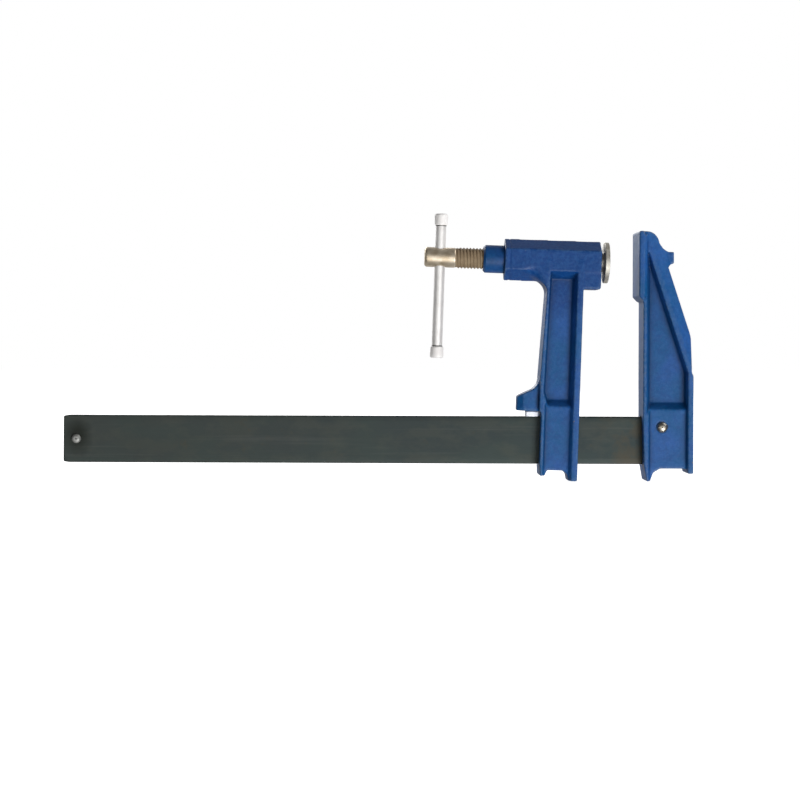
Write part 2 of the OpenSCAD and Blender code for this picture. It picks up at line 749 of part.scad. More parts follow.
module tommy_bar_ends() {
    bevel = 1.2;
    neck = 0.9;
    taper = 0.5;
    swell = [0.45, 0.6];                 // widest part, as shares of the length
    r = cap_d / 2;
    color(bright) on_tommy() for (far = [0, 1]) translate([0, 0, far * tommy_length]) mirror([0, 0, far])
        difference() {
            rotate_extrude() polygon([[0, 0], [r - bevel - taper, 0], [r - taper, bevel],
                [r, cap_length * swell[0]], [r, cap_length * swell[1]],
                [tommy_d / 2 + neck, cap_length], [0, cap_length]]);
            translate([0, 0, cap_length - cap_socket])
                cylinder(cap_socket + 1, d = tommy_d + 2 * drive_gap);
        }
}

bar();
fixed_jaw();
fixed_jaw_rivet();
stop_pin();
sliding_jaw();
grip_shoe();
spindle_nut();
nut_lock_screw();
spindle();
plunger();
plunger_ring();
pressure_pad();
pad_ring();
tommy_bar();
tommy_bar_ends();
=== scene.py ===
import json
import math

import bmesh
import bpy
import numpy as np
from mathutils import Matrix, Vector


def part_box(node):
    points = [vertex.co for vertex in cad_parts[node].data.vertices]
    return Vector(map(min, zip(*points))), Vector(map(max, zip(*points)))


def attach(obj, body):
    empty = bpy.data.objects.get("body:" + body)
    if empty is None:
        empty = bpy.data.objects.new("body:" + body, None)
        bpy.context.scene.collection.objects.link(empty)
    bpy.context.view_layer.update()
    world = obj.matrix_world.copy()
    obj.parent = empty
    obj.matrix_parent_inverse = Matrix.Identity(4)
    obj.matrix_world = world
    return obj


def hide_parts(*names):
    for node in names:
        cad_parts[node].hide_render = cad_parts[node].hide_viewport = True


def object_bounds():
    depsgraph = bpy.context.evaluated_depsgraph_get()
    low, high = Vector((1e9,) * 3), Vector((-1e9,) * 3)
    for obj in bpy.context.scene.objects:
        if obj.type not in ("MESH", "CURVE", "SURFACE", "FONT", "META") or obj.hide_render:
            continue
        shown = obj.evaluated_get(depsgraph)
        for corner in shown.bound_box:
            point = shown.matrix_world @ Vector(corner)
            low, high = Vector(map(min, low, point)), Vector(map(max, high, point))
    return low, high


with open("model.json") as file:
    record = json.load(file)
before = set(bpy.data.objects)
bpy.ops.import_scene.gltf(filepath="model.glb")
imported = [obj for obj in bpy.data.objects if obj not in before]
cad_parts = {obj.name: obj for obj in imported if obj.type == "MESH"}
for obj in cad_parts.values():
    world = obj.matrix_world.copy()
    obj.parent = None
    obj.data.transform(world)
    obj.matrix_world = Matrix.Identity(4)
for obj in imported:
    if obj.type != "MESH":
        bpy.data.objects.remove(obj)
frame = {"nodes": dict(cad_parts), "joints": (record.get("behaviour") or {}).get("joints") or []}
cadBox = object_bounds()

mm = 0.001
weldDistance = 1e-6
scene = bpy.context.scene
joints = {joint["name"]: joint for joint in frame["joints"]}
print("frame: loaded", len(frame["nodes"]), "nodes")


# A node's output that adds, subtracts and multiplies like a number.
class Socket:
    def __init__(self, nodes, link):
        self.nodes, self.link = nodes, link

    def maths(self, operation, other, flipped=False):
        pair = (other, self) if flipped else (self, other)
        return self.nodes.node("ShaderNodeMath", {"operation": operation}, {0: pair[0], 1: pair[1]})

    def __add__(self, other): return self.maths("ADD", other)
    def __radd__(self, other): return self.maths("ADD", other, True)
    def __sub__(self, other): return self.maths("SUBTRACT", other)
    def __rsub__(self, other): return self.maths("SUBTRACT", other, True)
    def __mul__(self, other): return self.maths("MULTIPLY", other)
    def __rmul__(self, other): return self.maths("MULTIPLY", other, True)


# The nodes of a world or a material.
class Nodes:
    def __init__(self, tree):
        self.tree = tree

    def plug(self, socket, value):
        if isinstance(value, Socket):
            self.tree.links.new(value.link, socket)
        else:
            socket.default_value = value

    # any node: its type, its settings, then the values or links of its sockets
    def node(self, kind, settings=None, sockets=None, output=0):
        node = self.tree.nodes.new(kind)
        for name, value in (settings or {}).items():
            setattr(node, name, value)
        for name, value in (sockets or {}).items():
            self.plug(node.inputs[name], value)
        return Socket(self, node.outputs[output])

    # runs from low to high while the value goes from start to end
    def ramp(self, value, start, end, low=0.0, high=1.0):
        return self.node("ShaderNodeMapRange", {"clamp": True}, {
            "Value": value, "From Min": start, "From Max": end, "To Min": low, "To Max": high})


# A material with its shader; its patterns lie on the object's own coordinates or its map.
class Finish(Nodes):
    def __init__(self, name, **sockets):
        self.material = bpy.data.materials.new(name)
        self.material.use_nodes = True
        super().__init__(self.material.node_tree)
        self.shader = self.tree.nodes["Principled BSDF"]
        self.feed(**sockets)

    def feed(self, **sockets):
        for name, value in sockets.items():
            self.plug(self.shader.inputs[name.replace("_", " ")], value)

    def place(self, stretch=(1, 1, 1), shift=(0, 0, 0), own="Object"):
        coordinate = self.node("ShaderNodeTexCoord", output=own)
        return self.node("ShaderNodeMapping", {}, {
            "Vector": coordinate, "Scale": stretch, "Location": shift})

    def noise(self, scale, stretch=(1, 1, 1), detail=3.0, rough=0.5, own="Object"):
        return self.node("ShaderNodeTexNoise", {}, {
            "Vector": self.place(stretch, own=own), "Scale": scale, "Detail": detail, "Roughness": rough})

    def attribute(self, name):
        return self.node("ShaderNodeAttribute", {"attribute_name": name}, output="Fac")

    def mix(self, factor, first, second):
        return self.node("ShaderNodeMix", {"data_type": "RGBA"}, {0: factor, 6: first, 7: second}, output=2)

    # layers over a colour: each has a shade, the most of it, and the values its pattern fades in over
    def layered(self, colour, layers, patterns, tone=1.0):
        for name, (shade, most, (start, end)) in layers.items():
            colour = self.mix(self.ramp(patterns[name], start, end, high=most), colour, paint(*shade, tone))
        return colour

    def bump(self, height, depth, strength=1.0, under=None):
        sockets = {"Height": height, "Distance": depth, "Strength": strength}
        if under is not None:
            sockets["Normal"] = under
        return self.node("ShaderNodeBump", {}, sockets)


def paint(red, green, blue, tone=1.0):
    return (red * tone, green * tone, blue * tone, 1.0)


def unit(vector):
    vector = np.asarray(vector, float)
    return vector / np.linalg.norm(vector)


# An attribute of all of a mesh's vertices as rows of three numbers.
def rowsOf(vertices, attribute):
    rows = np.empty(len(vertices) * 3)
    vertices.foreach_get(attribute, rows)
    return rows.reshape(-1, 3)


# Every point as its distance along an axis through a place, and its distance away from that axis.
def aboutAxis(points, place, axis):
    offset = points - place
    along = offset @ axis
    return along, np.linalg.norm(offset - along[:, None] * axis, axis=1)


# From where to where a node reaches along an axis, and how far away from it, in millimetres.
def reach(node, place, axis):
    along, away = aboutAxis(rowsOf(frame["nodes"][node].data.vertices, "co"), place, axis)
    return along.min() / mm, along.max() / mm, away.max() / mm


# The middle of a node's box, and half its size, in millimetres.
def middleAndHalf(node):
    low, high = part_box(node)
    return np.array((low + high) / 2), (np.array(high) - np.array(low)) / 2 / mm


# Each corner of an outline becomes a short parabola between the points one radius along its two sides.
# A point just outside each end of the curve keeps the flats beside it flat.
def rounded(corners, radius, closed=False, steps=6, most=0.46, guard=0.12):
    corner = np.array(corners, float)
    radius = np.broadcast_to(np.asarray(radius, float), len(corner)).copy()
    if not closed:
        radius[[0, -1]] = 0
    toLast, toNext = np.roll(corner, 1, 0) - corner, np.roll(corner, -1, 0) - corner
    lastLength = np.maximum(np.linalg.norm(toLast, axis=1), 1e-9)
    nextLength = np.maximum(np.linalg.norm(toNext, axis=1), 1e-9)
    span = np.minimum(radius, most * np.minimum(lastLength, nextLength))
    start = corner + toLast / lastLength[:, None] * span[:, None]
    end = corner + toNext / nextLength[:, None] * span[:, None]
    share = np.linspace(0, 1, steps + 1)[None, :, None]
    curve = ((1 - share) ** 2 * start[:, None] + 2 * share * (1 - share) * corner[:, None]
             + share ** 2 * end[:, None])
    before = start + guard * (start - corner)
    after = end + guard * (end - corner)
    points = np.concatenate([before[:, None], curve, after[:, None]], axis=1).reshape(-1, 2)
    keep = np.r_[True, np.linalg.norm(np.diff(points, axis=0), axis=1) > 1e-4]
    return points[keep]


# A grid of points whose rows close on themselves: quads between rows, and a fan at each end,
# or quads from the last row to the first when it is a ring.
def tube(points, ring=False):
    rows, around = points.shape[:2]
    row = np.arange(rows if ring else rows - 1)[:, None]
    column = np.arange(around)[None, :]
    nextRow, nextColumn = (row + 1) % rows, (column + 1) % around
    quads = np.stack([row * around + column, row * around + nextColumn,
                      nextRow * around + nextColumn, nextRow * around + column], -1).reshape(-1, 4)
    rowGrid, columnGrid = np.broadcast_arrays(row, column)
    places = np.stack([np.stack([rowGrid + down, columnGrid + across], -1)
                       for down, across in ((0, 0), (0, 1), (1, 1), (1, 0))], -2).reshape(-1, 4, 2)
    vertices = points.reshape(-1, 3)
    triangles = np.empty((0, 3), int)
    if not ring:
        middle = len(vertices)
        vertices = np.vstack([vertices, points[0].mean(0), points[-1].mean(0)])
        rim = np.arange(around)
        nextRim = (rim + 1) % around
        last = (rows - 1) * around
        triangles = np.vstack([np.stack([nextRim, rim, np.full(around, middle)], 1),
                               np.stack([last + rim, last + nextRim, np.full(around, middle + 1)], 1)])
    return vertices, quads, triangles, places


# A profile of (distance along the axis, radius), in millimetres, turned once round the axis.
# The map follows it: one turn across, and the length along the profile.
def turned(profile, origin, axis, around=96, ring=False, swell=None):
    axis = unit(axis)
    side = unit(np.cross(axis, (0.0, 0.0, 1.0) if abs(axis[2]) < 0.9 else (0.0, 1.0, 0.0)))
    up = np.cross(axis, side)
    angle = np.arange(around) / around * 2 * math.pi
    profile = np.asarray(profile, float)
    spoke = np.cos(angle)[:, None] * side + np.sin(angle)[:, None] * up
    radius = profile[:, 1][:, None] * np.ones(around)
    if swell is not None:
        radius = swell(profile[:, 0][:, None], angle[None, :], radius)
    points = (np.asarray(origin) + profile[:, 0][:, None, None] * mm * axis
              + radius[:, :, None] * mm * spoke[None])
    vertices, quads, triangles, places = tube(points, ring)
    length = np.r_[0, np.cumsum(np.linalg.norm(np.diff(profile, axis=0), axis=1))]
    length = np.r_[length, length[-1] + 1]
    chart = np.stack([places[..., 1] / around, length[places[..., 0]] * mm], -1)
    return vertices, quads, triangles, chart


# A rounded rectangle carried along a line and drawn in along a quarter circle at both ends.
# Its long sides get extra points, which keep their shading even.
def roundedBlock(low, high, sideRadius, endRadius, stations=2, steps=5, flatSteps=8, spare=1.2,
                 least=0.02, bow=None):
    low, high = np.asarray(low, float), np.asarray(high, float)
    middle, half = (low + high) / 2, (high - low) / 2
    turn = np.linspace(0, math.pi / 2, steps + 1)
    inset = endRadius * (1 - np.sin(turn))
    along = half[0] - endRadius * (1 - np.cos(turn))
    stretch = np.linspace(-1, 1, stations + 2)[1:-1] * (half[0] - endRadius * spare)
    along = np.r_[-along, stretch, along[::-1]]
    inset = np.r_[inset, 0 * stretch, inset[::-1]]
    corner = np.array([[1, 1], [-1, 1], [-1, -1], [1, -1]])
    arcs = (np.arange(4)[:, None] * math.pi / 2 + turn).ravel()
    quarter = np.stack([np.cos(arcs), np.sin(arcs)], 1)
    home = np.repeat(corner, steps + 1, axis=0)
    core = home * (half[1:] - sideRadius)
    tight = np.maximum(sideRadius - inset, least * sideRadius)
    shrink = np.maximum(inset - (sideRadius - tight), 0)
    section = (core[None] - home[None] * shrink[:, None, None]) + quarter[None] * tight[:, None, None]
    start, end = section, np.roll(section, -1, 1)
    gap = np.linalg.norm(end - start, axis=2)[len(along) // 2]
    shares = np.linspace(0, 1, flatSteps + 1)[:-1]
    parts = [start[:, side, None] + (end[:, side] - start[:, side])[:, None]
             * (shares if long else shares[:1])[:, None] for side, long in enumerate(gap > sideRadius)]
    section = np.concatenate(parts, axis=1)
    points = np.concatenate([np.broadcast_to(along[:, None, None], section.shape[:2] + (1,)), section], -1)
    if bow is not None:
        points = bow(points)
    vertices, quads, triangles, places = tube(points + middle)
    chart = np.stack([places[..., 1] * mm, along[np.minimum(places[..., 0], len(along) - 1)]], -1)
    return vertices, quads, triangles, chart


# Six times the volume behind some faces: it is below zero where they are inside out.
def volumeOf(vertices, faces):
    corner = vertices[faces]
    return sum(np.einsum("ij,ij->", corner[:, 0], np.cross(corner[:, k], corner[:, k + 1]))
               for k in range(1, faces.shape[1] - 1))


def weld(mesh, outwards=False):
    shape = bmesh.new()
    shape.from_mesh(mesh)
    bmesh.ops.remove_doubles(shape, verts=shape.verts, dist=weldDistance)
    if outwards:
        bmesh.ops.recalc_face_normals(shape, faces=shape.faces)
    shape.to_mesh(mesh)
    shape.free()


# A new mesh of an object with its modifiers applied.
def finishedMesh(thing):
    return bpy.data.meshes.new_from_object(thing.evaluated_get(bpy.context.evaluated_depsgraph_get()))


# Dresses a piece, and says what it rides on, what it replaces and whose finish it takes.
def fit(piece, body, nodes, finish):
    if piece.name not in scene.collection.objects:
        scene.collection.objects.link(piece)
    piece.data.materials.clear()
    piece.data.materials.append(finish.material)
    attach(piece, body)
    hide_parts(*nodes)
    return piece


# Puts parts (vertices, quads, triangles, chart) into one mesh whose faces point outwards.
def makePiece(name, parts, body, nodes, finish):
    count, points, corners, sizes, charts = 0, [], [], [], []
    for vertices, quads, triangles, chart in parts:
        if volumeOf(vertices, quads) + volumeOf(vertices, triangles) < 0:
            quads, triangles, chart = quads[:, ::-1], triangles[:, ::-1], chart[:, ::-1]
        points.append(vertices)
        corners += [(quads + count).ravel(), (triangles + count).ravel()]
        charts += [chart.reshape(-1, 2), np.zeros((triangles.size, 2))]
        sizes += [np.full(len(quads), 4), np.full(len(triangles), 3)]
        count += len(vertices)
    points, corners, sizes = np.vstack(points), np.concatenate(corners), np.concatenate(sizes)
    starts = np.r_[0, np.cumsum(sizes)[:-1]]
    mesh = bpy.data.meshes.new(name)
    mesh.vertices.add(len(points))
    mesh.vertices.foreach_set("co", points.ravel())
    mesh.loops.add(len(corners))
    mesh.loops.foreach_set("vertex_index", corners.astype(np.int32))
    mesh.polygons.add(len(sizes))
    mesh.polygons.foreach_set("loop_start", starts.astype(np.int32))
    mesh.polygons.foreach_set("loop_total", sizes.astype(np.int32))
    mesh.polygons.foreach_set("use_smooth", np.ones(len(sizes), bool))
    mesh.update(calc_edges=True)
    mesh.validate()
    layer = mesh.uv_layers.new(name="profile")
    layer.data.foreach_set("uv", np.vstack(charts).astype(np.float32).ravel())
    return fit(bpy.data.objects.new(name, mesh), body, nodes, finish)


# camera: level, unturned, and shifted a little for the framing
viewpoint = {"place": (-0.2016, -1.4516, -0.0634), "lens": 85.65, "film": 36.0,
             "shift": (0.0359, -0.0712), "roll": -0.22, "reach": (0.05, 30.0)}

camera = bpy.data.cameras.new("camera")
camera.lens, camera.sensor_width = viewpoint["lens"], viewpoint["film"]
camera.shift_x, camera.shift_y = viewpoint["shift"]
camera.clip_start, camera.clip_end = viewpoint["reach"]
cameraObject = bpy.data.objects.new("camera", camera)
cameraObject.location = viewpoint["place"]
cameraObject.rotation_euler = (math.radians(90), math.radians(viewpoint["roll"]), 0)
scene.collection.objects.link(cameraObject)
scene.camera = cameraObject
scene.view_settings.view_transform = "Standard"

# lamps: place, width and height, watts; surroundings is how bright the gloss finds the world
studio = {
    "lamps": {"key": ((0.7, -1.85, -1.2), (0.9, 0.7), 41.0),
              "front": ((0.0, -2.4, -0.25), (4.9, 0.9), 27.0),
              "top": ((1.5, -0.1, 1.5), (1.4, 1.4), 24.0),
              "back": ((-1.1, 1.9, 0.9), (2.0, 1.4), 34.0)},
    "target": (-0.12, 0.0, -0.07), "ambient": 0.065, "surroundings": 0.52,
    "floorHalf": 6.0, "floorDrop": 0.2, "floorGrey": 0.6, "floorGlow": 0.93,
}


# A soft rectangular lamp that faces the target and isn't seen itself.
def softLamp(name, place, size, watts):
    lamp = bpy.data.lights.new(name, "AREA")
    lamp.shape, lamp.size, lamp.size_y = "RECTANGLE", size[0], size[1]
    lamp.energy = watts
    lampObject = bpy.data.objects.new(name, lamp)
    lampObject.location = place
    lampObject.rotation_mode = "QUATERNION"
    lampObject.rotation_quaternion = (Vector(studio["target"]) - Vector(place)).to_track_quat("-Z", "Y")
    lampObject.visible_camera = False
    scene.collection.objects.link(lampObject)


for lampName, (place, size, watts) in studio["lamps"].items():
    softLamp(lampName, place, size, watts)

# the world is dim for the object, brighter for its gloss and white for the camera
world = bpy.data.worlds.new("studio")
scene.world = world
world.use_nodes = True
sky = Nodes(world.node_tree)
glossy = sky.node("ShaderNodeMath", {"operation": "MAXIMUM"}, {
    0: sky.node("ShaderNodeLightPath", output="Is Glossy Ray"),
    1: sky.node("ShaderNodeLightPath", output="Is Transmission Ray")})
strength = sky.ramp(glossy, 0.0, 1.0, studio["ambient"], studio["surroundings"])
strength = sky.ramp(sky.node("ShaderNodeLightPath", output="Is Camera Ray"), 0.0, 1.0, strength, 1.0)
background = sky.tree.nodes["Background"]
sky.plug(background.inputs["Color"], paint(1, 1, 1))
sky.plug(background.inputs["Strength"], strength)


# A flat sheet between four corners, which isn't part of the object.
def sheetMesh(name, corners):
    mesh = bpy.data.meshes.new(name)
    mesh.from_pydata(corners, [], [(0, 1, 2, 3)])
    sheet = bpy.data.objects.new(name, mesh)
    scene.collection.objects.link(sheet)
    return sheet


floorLevel, wide = cadBox[0].z - studio["floorDrop"] * mm, studio["floorHalf"]
floor = sheetMesh("floor", [(-wide, -wide, floorLevel), (wide, -wide, floorLevel),
                            (wide, wide, floorLevel), (-wide, wide, floorLevel)])
floor.visible_shadow = False
floor.visible_glossy = False
floorFinish = Finish("pale floor", Base_Color=paint(1, 1, 1, studio["floorGrey"]), Roughness=0.9,
                     Emission_Color=paint(1, 1, 1))
seen = floorFinish.node("ShaderNodeLightPath", output="Is Camera Ray")
floorFinish.feed(Emission_Strength=seen * studio["floorGlow"])
# from below the floor is clear, so that the underside can be seen
floorFinish.plug(floorFinish.tree.nodes["Material Output"].inputs["Surface"],
                 floorFinish.node("ShaderNodeMixShader", {}, {
                     0: floorFinish.node("ShaderNodeNewGeometry", output="Backfacing"),
                     1: Socket(floorFinish, floorFinish.shader.outputs[0]),
                     2: floorFinish.node("ShaderNodeBsdfTransparent")}))
floor.data.materials.append(floorFinish.material)

# dark cards in front, out of the camera's sight, give the metal its dark reflections
cards = {"distance": 2.6, "half": 2.6, "sideBack": 0.6, "lidBack": 1.0, "shade": 0.02}
cardFinish = Finish("dark card", Base_Color=paint(1, 1, 1, cards["shade"]), Roughness=1.0)
low, high, front = -cards["half"], cards["half"], -cards["distance"]
for cardName, corners in {
        "card_front": [(low, front, low), (high, front, low), (high, front, high), (low, front, high)],
        "card_left": [(low, front, low), (low, front, high),
                      (low, cards["sideBack"], high), (low, cards["sideBack"], low)],
        "card_right": [(high, front, low), (high, cards["sideBack"], low),
                       (high, cards["sideBack"], high), (high, front, high)],
        "card_top": [(low, front, high), (high, front, high),
                     (high, cards["lidBack"], high), (low, cards["lidBack"], high)],
        "card_under": [(low, front, low), (low, cards["lidBack"], low),
                       (high, cards["lidBack"], low), (high, front, low)]}.items():
    card = sheetMesh(cardName, corners)
    card.visible_camera = False
    card.visible_shadow = False
    card.data.materials.append(cardFinish.material)
print("studio: camera, lamps, floor")


# enamel: thick blue paint, blotched and gritty, with painted shade in its corners and creases, worn on
# edges and chipped to the iron
enamelLook = {
    "base": (0.003, 0.080, 0.240), "brighter": (0.013, 0.084, 0.305), "brighterAt": (0.42, 0.60),
    "layers": {"dapple": ((0.014, 0.098, 0.310), 0.6, (0.42, 0.62)),
               "deep": ((0.001, 0.040, 0.190), 0.85, (0.0, 1.0)),
               "fine": ((0.026, 0.118, 0.330), 0.3, (0.45, 0.58)),
               "grit": ((0.003, 0.042, 0.175), 0.4, (0.47, 0.60)),
               # the last two layers are painted shade, darkening the enamel in recess corners and in
               # creases
               "corner": ((0.002, 0.024, 0.090), 0.55, (0.0, 1.0)),
               "hollow": ((0.002, 0.018, 0.070), 0.5, (0.0, 1.0))},
    "scales": {"broad": 34.0, "dapple": 130.0, "chips": 160.0, "grit": 260.0, "fine": 420.0,
               "pores": 1500.0},
    "worn": (0.085, 0.15, 0.26), "wornLeast": 0.15, "wornMore": 0.5, "wornAt": (0.42, 0.60),
    "ironDark": (0.10, 0.095, 0.09), "ironLight": (0.24, 0.22, 0.20),
    "chipsAt": (0.735, 0.75), "chipsOnEdges": 0.12,
    "roughness": 0.38, "coat": 0.05, "coatRoughness": 0.28, "specular": 0.22, "ior": 1.5,
    "poreDepth": 0.06, "waveDepth": 0.3,
}


def enamelFinish(name, tone=1.0, grain=1.0):
    look, scales = enamelLook, enamelLook["scales"]
    enamel = Finish(name, Coat_Roughness=look["coatRoughness"], IOR=look["ior"],
                    Specular_IOR_Level=look["specular"])
    broad = enamel.noise(scales["broad"], detail=2.0)
    dapple = enamel.noise(scales["dapple"], detail=3.0, rough=0.6)
    fine = enamel.noise(scales["fine"], detail=4.0, rough=0.6)
    pores = enamel.noise(scales["pores"], detail=2.0)
    patterns = {each: enamel.attribute(each) for each in ("deep", "corner", "hollow", "edge")}
    patterns.update(dapple=dapple, fine=fine, grit=enamel.noise(scales["grit"], detail=5.0, rough=0.7))
    blue = enamel.mix(enamel.ramp(broad, *look["brighterAt"]),
                      paint(*look["base"], tone), paint(*look["brighter"], tone))
    # the layers end in painted shade in the corners and creases
    blue = enamel.layered(blue, look["layers"], patterns, tone)
    worn = patterns["edge"] * (look["wornLeast"] + enamel.ramp(fine, *look["wornAt"]) * look["wornMore"])
    blue = enamel.mix(worn, blue, paint(*look["worn"]))
    chips = enamel.noise(scales["chips"], detail=5.0, rough=0.65) + patterns["edge"] * look["chipsOnEdges"]
    chip = enamel.ramp(chips, *look["chipsAt"])
    iron = enamel.mix(fine, paint(*look["ironDark"]), paint(*look["ironLight"]))
    enamel.feed(Base_Color=enamel.mix(chip, blue, iron),
                Roughness=look["roughness"] + fine * 0.14 + chip * 0.2,
                Coat_Weight=look["coat"] - chip * look["coat"],
                Normal=enamel.bump(pores, look["poreDepth"] * mm * grain, 0.5,
                                   enamel.bump(fine + dapple * 1.6 - chip * 0.5,
                                               look["waveDepth"] * mm * grain, 0.6)))
    return enamel


# rolled steel: grey, clouded and streaked along its length, with brown specks towards the fixed
# jaw, and a dark patch round the stop pin, partly an oily stain and partly painted shade
steelLook = {
    "freeEnd": (0.054, 0.058, 0.050), "jawEnd": (0.014, 0.027, 0.029), "endsAt": (-0.90, 0.10),
    "layers": {"patch": ((0.030, 0.045, 0.040), 0.6, (0.42, 0.60)),
               "cloud": ((0.052, 0.058, 0.048), 0.4, (0.44, 0.60)),
               "rust": ((0.062, 0.048, 0.026), 0.35, (0.60, 0.72)),
               "streak": ((0.10, 0.105, 0.098), 0.3, (0.55, 0.80)),
               "specks": ((0.050, 0.042, 0.026), 0.6, (0.0, 1.0)),
               # the dark patch round the stop pin: partly oil stain, partly painted shade
               "stain": ((0.004, 0.007, 0.003), 0.92, (0.0, 1.0))},
    "scales": {"patch": 16.0, "rust": 55.0, "cloud": 70.0, "streak": 300.0, "scale": 900.0},
    "specksAlong": (-0.035, -0.006), "specksAt": (0.46, 0.60),
    "stainAndShadeAside": 1.2, "stainAndShadeUp": 1.4, "stainAndShadeSquash": 0.72, "stainAndShadeFades": (7.0, 16.0), "stainAndShadeRagged": 8.0,
    "roughness": 0.36, "metallic": 0.55, "scaleDepth": 0.04, "streakDepth": 0.08,
}


def rolledSteel():
    look, scales = steelLook, steelLook["scales"]
    steel = Finish("oiled rolled steel", Metallic=look["metallic"])
    patch = steel.noise(scales["patch"], (1, 1, 2.2), detail=3.0)
    cloud = steel.noise(scales["cloud"], (0.6, 1, 1.2), detail=4.0, rough=0.6)
    streak = steel.noise(scales["streak"], (0.02, 1, 1), detail=4.0, rough=0.6)
    scale = steel.noise(scales["scale"], (0.35, 1, 1), detail=3.0)
    rust = steel.noise(scales["rust"], detail=5.0, rough=0.7)
    along = steel.node("ShaderNodeSeparateXYZ", {}, {"Vector": steel.place()}, output="X")
    specks = steel.ramp(along, *look["specksAlong"]) * steel.ramp(rust, *look["specksAt"])
    # a dark patch round the pin, shifted up and aside: partly oil stain, partly painted shade
    pin, _ = middleAndHalf("stop_pin")
    fromPin = steel.place((1.0, 0.0, look["stainAndShadeSquash"]),
                          (-pin[0] - look["stainAndShadeAside"] * mm, 0.0,
                           -pin[2] * look["stainAndShadeSquash"] - look["stainAndShadeUp"] * mm))
    away = steel.node("ShaderNodeVectorMath", {"operation": "LENGTH"}, {0: fromPin}, output="Value")
    stainAndShadeFrom, stainAndShadeTo = look["stainAndShadeFades"]
    stain = 1 - steel.ramp(away + cloud * (look["stainAndShadeRagged"] * mm), stainAndShadeFrom * mm, stainAndShadeTo * mm)
    grey = steel.mix(steel.ramp(along, *look["endsAt"]), paint(*look["freeEnd"]), paint(*look["jawEnd"]))
    grey = steel.layered(grey, look["layers"], {"patch": patch, "cloud": cloud, "rust": rust,
                                                "streak": streak, "specks": specks, "stain": stain})
    steel.feed(Base_Color=grey, Roughness=look["roughness"] + cloud * 0.2 + streak * 0.08,
               Normal=steel.bump(scale, look["scaleDepth"] * mm, 0.35,
                                 steel.bump(streak + cloud, look["streakDepth"] * mm, 0.4)))
    return steel


# turned steel: two greys in clouds, stained in places, with tool lines that follow the turning
turnedLook = {"lines": 2600.0, "lineWaver": 4.0, "cloudScale": 180.0, "stainScale": 70.0, "lineDepth": 0.03}


def turnedSteel(name, dark, light, rough, metallic=1.0, stain=0.4, stainColour=(0.2, 0.14, 0.07)):
    look = turnedLook
    steel = Finish(name, Metallic=metallic)
    groove = steel.noise(1.0, (look["lineWaver"], look["lines"], 1.0), detail=3.0, own="UV")
    cloud = steel.noise(look["cloudScale"], detail=4.0, rough=0.6)
    stained = steel.noise(look["stainScale"], detail=5.0, rough=0.65)
    colour = steel.mix(steel.ramp(cloud, 0.3, 0.7), paint(*dark), paint(*light))
    colour = steel.mix(steel.ramp(stained, 0.5, 0.75, high=stain), colour, paint(*stainColour))
    steel.feed(Base_Color=colour, Roughness=rough + cloud * 0.14 + groove * 0.06,
               Normal=steel.bump(groove, look["lineDepth"] * mm, 0.35))
    return steel


castingEnamel = enamelFinish("blue enamel on cast iron")
collarEnamel = enamelFinish("blue enamel on turned steel", tone=0.72, grain=0.35)
barSteel = rolledSteel()
screwSteel = turnedSteel("yellow passivated screw head", (0.50, 0.40, 0.27), (0.76, 0.67, 0.54), 0.34,
                         metallic=0.75, stainColour=(0.28, 0.20, 0.10))
threadSteel = turnedSteel("oily yellow thread", (0.22, 0.155, 0.09), (0.31, 0.23, 0.14), 0.6,
                          metallic=0.15, stainColour=(0.14, 0.09, 0.045))
platedSteel = turnedSteel("bright plated steel", (0.84, 0.82, 0.80), (0.95, 0.935, 0.92), 0.36,
                          metallic=0.5, stain=0.15, stainColour=(0.5, 0.45, 0.4))
capSteel = turnedSteel("satin plated caps", (0.92, 0.89, 0.87), (0.97, 0.955, 0.94), 0.45,
                       metallic=0.1, stain=0.15, stainColour=(0.55, 0.5, 0.45))
plungerSteel = turnedSteel("ground plunger steel", (0.42, 0.41, 0.39), (0.62, 0.61, 0.58), 0.34,
                           metallic=0.8, stain=0.3)
padSteel = turnedSteel("plated pad", (0.38, 0.35, 0.29), (0.62, 0.60, 0.54), 0.40, metallic=0.6, stain=0.6)
shoeSteel = turnedSteel("ground hardened steel", (0.62, 0.64, 0.70), (0.78, 0.80, 0.86), 0.36,
                        metallic=0.7, stain=0.1)
rivetSteel = turnedSteel("bright peened steel", (0.30, 0.27, 0.22), (0.56, 0.53, 0.47), 0.30, stain=0.5)
stopSteel = turnedSteel("bright stop pin", (0.20, 0.21, 0.20), (0.44, 0.44, 0.42), 0.42,
                        metallic=0.6, stain=0.35, stainColour=(0.10, 0.10, 0.08))
pinSteel = turnedSteel("plain steel screw", (0.16, 0.16, 0.15), (0.38, 0.38, 0.36), 0.3,
                       stainColour=(0.03, 0.03, 0.025))
springSteel = turnedSteel("spring steel", (0.12, 0.12, 0.12), (0.26, 0.26, 0.26), 0.35, stain=0.2)
print("finishes: mixed")


# castings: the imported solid, remeshed finely, relaxed and roughened like sand-cast iron
casting = {"voxel": 0.65, "relax": 4, "flash": 0.14, "flashHalf": 0.9, "clear": 0.12,
           "wave": 0.035, "waveLengths": (0.021, 0.013, 0.0075), "wavesEach": 3, "waveSum": 5,
           "grooveIn": 3.9, "grooveHalf": 1.0, "grooveDepth": 0.4, "grooveNear": 12.0, "barrelRadius": 22.5,
           "blendAt": (-0.0779, 0.0115, -0.0128), "blendWidth": 5.0, "blendTall": 0.8,
           "blendLeast": 0.001, "blendSteps": 260, "blendPace": 0.8,
           # the short relaxing finds worn edges and creases, the long one recesses; creases and recesses
           # get painted shade
           "edgeSteps": 14, "edgeHeight": 0.34, "edgeLeast": 0.15, "hollowLeast": 0.1,
           "cornerShadeSteps": 110, "cornerShadePace": 0.9, "cornerShadeLeast": 0.2,
           "barrelFrom": -46, "barrelFade": 14.0}
screwAxis = unit(joints["screw_turn"]["axis"])
